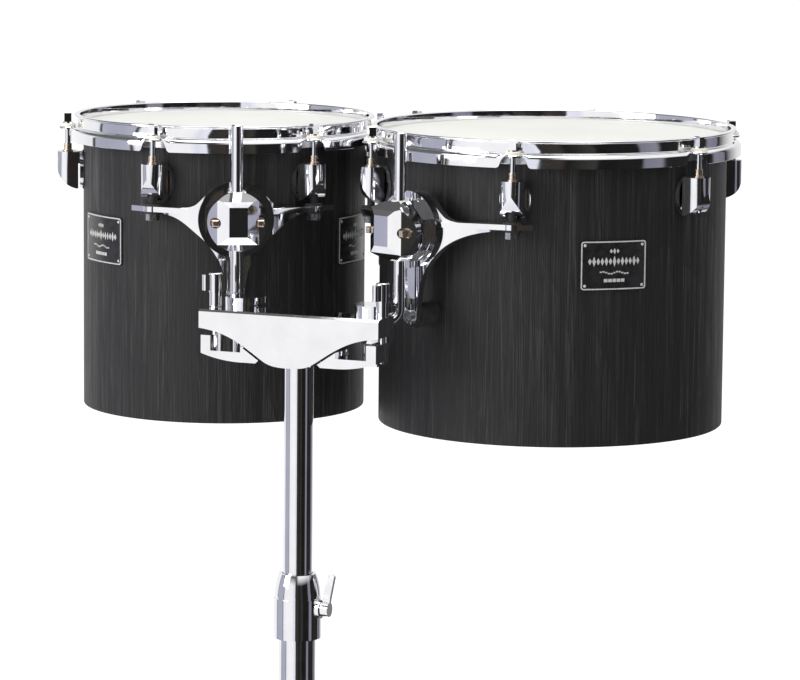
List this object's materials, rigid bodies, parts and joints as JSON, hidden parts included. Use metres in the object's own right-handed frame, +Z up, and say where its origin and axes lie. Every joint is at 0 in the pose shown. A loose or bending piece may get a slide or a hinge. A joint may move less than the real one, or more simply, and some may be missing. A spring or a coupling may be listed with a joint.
{
  "type": "pair of concert toms on a stand",
  "caption": "Pair of single-headed concert toms with black wood shells, held side by side on L-rods by a chrome twin holder on a telescopic folding tripod stand.",
  "frame": {"origin": "on the floor, on the axis of the stand's pole", "axes": "+Z up along the pole; +X to the right of the holder's long face, which looks along -Y; the drums stand on the +Y side"},
  "size_m": [0.622, 0.5798, 0.903],
  "materials": {
    "black_ash": "black-stained open-grain ash, satin",
    "head_film": "coated white film",
    "aluminium": "satin",
    "chrome": "polished plating",
    "rubber": "matt black",
    "steel": "zinc plated",
    "brass": "satin brass",
    "nylon": "natural nylon",
    "badge": "black plate with a silver border"
  },
  "bodies": {
    "stand": {"lower_tube": "chrome", "height_collar": "chrome", "leg_hub": "chrome"},
    "height_screw": {"height_wing_bolt": "chrome"},
    "bush": {"height_bush": "nylon"},
    "holder": {"upper_tube": "chrome", "yoke": "chrome", "clamp_jaws": "chrome"},
    "left_screw": {"left_wing_bolt": "chrome"},
    "right_screw": {"right_wing_bolt": "chrome"},
    "runner": {"leg_runner": "chrome"},
    "left_seat": {"left_ball_seat": "nylon"},
    "left_rod": {"left_l_rod": "chrome"},
    "left_sleeve": {"left_rod_sleeve": "nylon"},
    "left_drum": {"left_shell": "black_ash", "left_head_film": "head_film", "left_flesh_hoop": "aluminium", "left_counterhoop": "chrome", "left_lugs": "chrome", "left_lug_gaskets": "rubber", "left_lug_screws": "steel", "left_swivel_nuts": "brass", "left_tension_rods": "chrome", "left_rod_washers": "nylon", "left_badges": "badge", "left_bracket": "chrome", "left_bracket_bushes": "rubber", "left_bracket_screws": "steel", "left_clamp_body": "chrome", "left_clamp_cap": "chrome", "left_clamp_bolts": "brass"},
    "right_seat": {"right_ball_seat": "nylon"},
    "right_rod": {"right_l_rod": "chrome"},
    "right_sleeve": {"right_rod_sleeve": "nylon"},
    "right_drum": {"right_shell": "black_ash", "right_head_film": "head_film", "right_flesh_hoop": "aluminium", "right_counterhoop": "chrome", "right_lugs": "chrome", "right_lug_gaskets": "rubber", "right_lug_screws": "steel", "right_swivel_nuts": "brass", "right_tension_rods": "chrome", "right_rod_washers": "nylon", "right_badges": "badge", "right_bracket": "chrome", "right_bracket_bushes": "rubber", "right_bracket_screws": "steel", "right_clamp_body": "chrome", "right_clamp_cap": "chrome", "right_clamp_bolts": "brass"},
    "rear_leg_body": {"rear_leg": "chrome", "rear_foot": "rubber"},
    "rear_brace_body": {"rear_brace": "chrome"},
    "left_leg_body": {"left_leg": "chrome", "left_foot": "rubber"},
    "left_brace_body": {"left_brace": "chrome"},
    "right_leg_body": {"right_leg": "chrome", "right_foot": "rubber"},
    "right_brace_body": {"right_brace": "chrome"}
  },
  "joints": [
    {"name": "height_screw_turn", "type": "hinge", "parent": "stand", "child": "height_screw", "pos_m": [0.0226, 0, 0.494], "axis": [1, 0, 0], "range_deg": [0, 180]},
    {"name": "holder_turn", "type": "hinge", "parent": "stand", "child": "bush", "pos_m": [0, 0, 0.5], "axis": [0, 0, 1], "range_deg": [-60, 60]},
    {"name": "height_slide", "type": "slide", "parent": "bush", "child": "holder", "axis": [0, 0, 1], "range_m": [-0.15, 0.1]},
    {"name": "left_screw_turn", "type": "hinge", "parent": "holder", "child": "left_screw", "pos_m": [-0.0775, -0.002, 0.75], "axis": [0, 0, 1], "range_deg": [0, 180]},
    {"name": "left_arm_swing", "type": "hinge", "parent": "holder", "child": "left_seat", "pos_m": [-0.061, 0.023, 0.743], "axis": [0, 0, 1], "range_deg": [0, 25]},
    {"name": "left_tilt", "type": "hinge", "parent": "left_seat", "child": "left_rod", "pos_m": [-0.061, 0.023, 0.743], "axis": [1, 0, 0], "range_deg": [-8, 8]},
    {"name": "left_drum_height", "type": "slide", "parent": "left_rod", "child": "left_sleeve", "axis": [0, 0, 1], "range_m": [-0.025, 0.05]},
    {"name": "left_drum_turn", "type": "hinge", "parent": "left_sleeve", "child": "left_drum", "pos_m": [-0.076, 0.038, 0.823], "axis": [0, 0, 1], "range_deg": [0, 25]},
    {"name": "right_screw_turn", "type": "hinge", "parent": "holder", "child": "right_screw", "pos_m": [0.0775, -0.002, 0.75], "axis": [0, 0, 1], "range_deg": [0, 180]},
    {"name": "right_arm_swing", "type": "hinge", "parent": "holder", "child": "right_seat", "pos_m": [0.061, 0.023, 0.743], "axis": [0, 0, 1], "range_deg": [-25, 0]},
    {"name": "right_tilt", "type": "hinge", "parent": "right_seat", "child": "right_rod", "pos_m": [0.061, 0.023, 0.743], "axis": [1, 0, 0], "range_deg": [-8, 8]},
    {"name": "right_drum_height", "type": "slide", "parent": "right_rod", "child": "right_sleeve", "axis": [0, 0, 1], "range_m": [-0.025, 0.05]},
    {"name": "right_drum_turn", "type": "hinge", "parent": "right_sleeve", "child": "right_drum", "pos_m": [0.076, 0.038, 0.823], "axis": [0, 0, 1], "range_deg": [-25, 0]},
    {"name": "rear_leg_fold", "type": "hinge", "parent": "stand", "child": "rear_leg_body", "pos_m": [0, 0.032, 0.38], "axis": [-1, 0, 0], "range_deg": [0, 36]},
    {"name": "rear_brace_turn", "type": "hinge", "parent": "rear_leg_body", "child": "rear_brace_body", "pos_m": [0, 0.12842, 0.26509], "axis": [-1, 0, 0], "range_deg": [-72, 0]},
    {"name": "left_leg_fold", "type": "hinge", "parent": "stand", "child": "left_leg_body", "pos_m": [-0.02771, -0.016, 0.38], "axis": [0.5, -0.866, 0], "range_deg": [0, 36]},
    {"name": "left_brace_turn", "type": "hinge", "parent": "left_leg_body", "child": "left_brace_body", "pos_m": [-0.11121, -0.06421, 0.26509], "axis": [0.5, -0.866, 0], "range_deg": [-72, 0]},
    {"name": "right_leg_fold", "type": "hinge", "parent": "stand", "child": "right_leg_body", "pos_m": [0.02771, -0.016, 0.38], "axis": [0.5, 0.866, 0], "range_deg": [0, 36]},
    {"name": "right_brace_turn", "type": "hinge", "parent": "right_leg_body", "child": "right_brace_body", "pos_m": [0.11121, -0.06421, 0.26509], "axis": [0.5, 0.866, 0], "range_deg": [-72, 0]},
    {"name": "runner_slide", "type": "slide", "parent": "stand", "child": "runner", "axis": [0, 0, -1], "range_m": [0, 0.079]}
  ],
  "couplings": [
    {"joint": "rear_brace_turn", "follows": "rear_leg_fold", "ratio": -2},
    {"joint": "left_leg_fold", "follows": "rear_leg_fold", "ratio": 1},
    {"joint": "left_brace_turn", "follows": "rear_leg_fold", "ratio": -2},
    {"joint": "right_leg_fold", "follows": "rear_leg_fold", "ratio": 1},
    {"joint": "right_brace_turn", "follows": "rear_leg_fold", "ratio": -2},
    {"joint": "runner_slide", "follows": "rear_leg_fold", "m_per_rad": 0.1255}
  ]
}
